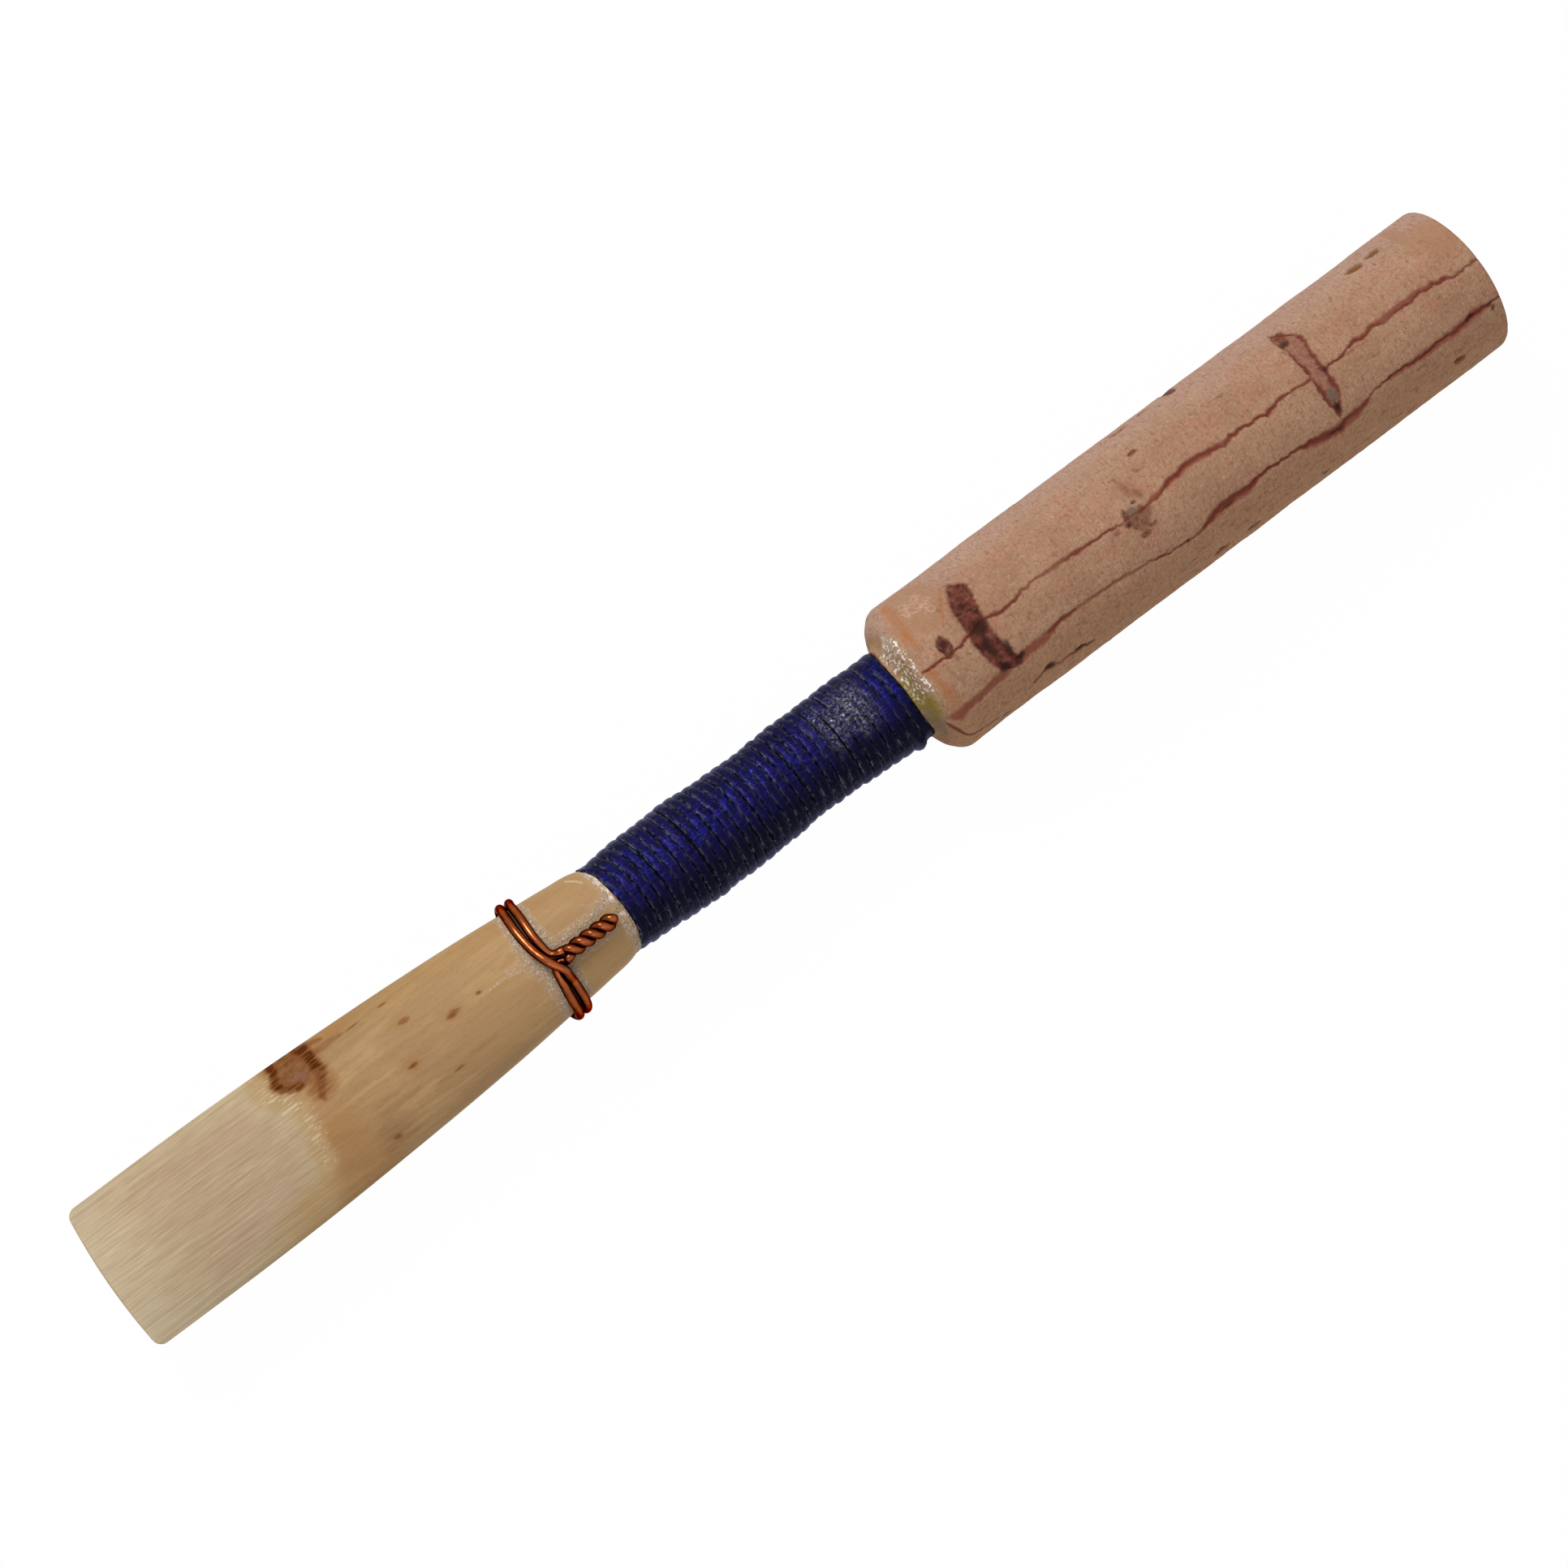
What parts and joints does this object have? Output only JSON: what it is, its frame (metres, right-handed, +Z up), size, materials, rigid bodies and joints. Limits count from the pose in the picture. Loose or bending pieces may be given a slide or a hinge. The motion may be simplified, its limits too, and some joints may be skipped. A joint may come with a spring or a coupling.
{
  "type": "oboe reed",
  "caption": "Double reed: two cane blades tied with thread to a tapered brass tube with a cork sleeve, drawn in by a twisted copper wire.",
  "frame": {"origin": "below the middle of the reed's length, on the surface that the cork lies on", "axes": "+X from the tip of the cane to the round end of the brass tube, +Y along the width of the tip, +Z up and out of the front blade"},
  "size_m": [0.073, 0.0072, 0.0072],
  "materials": {
    "staple_tube": "drawn brass tube, satin",
    "cork": "natural cork, sanded, with dark growth lines and pores",
    "front_cane": "scraped cane towards the tip, smooth golden bark behind it",
    "back_cane": "scraped cane towards the tip, smooth golden bark behind it",
    "thread": "dark blue thread with a slight sheen",
    "copper_wire": "bright copper wire, slightly darkened",
    "glue": "clear yellowish glue with bubbles, glossy",
    "lacquer": "dried whitish lacquer"
  },
  "bodies": {
    "root": {"staple_tube": "staple_tube", "cork_sleeve": "cork", "front_blade": "front_cane", "back_blade": "back_cane", "thread_winding": "thread", "binding_wire": "copper_wire", "glue_bead": "glue", "winding_lacquer": "lacquer"}
  },
  "joints": []
}
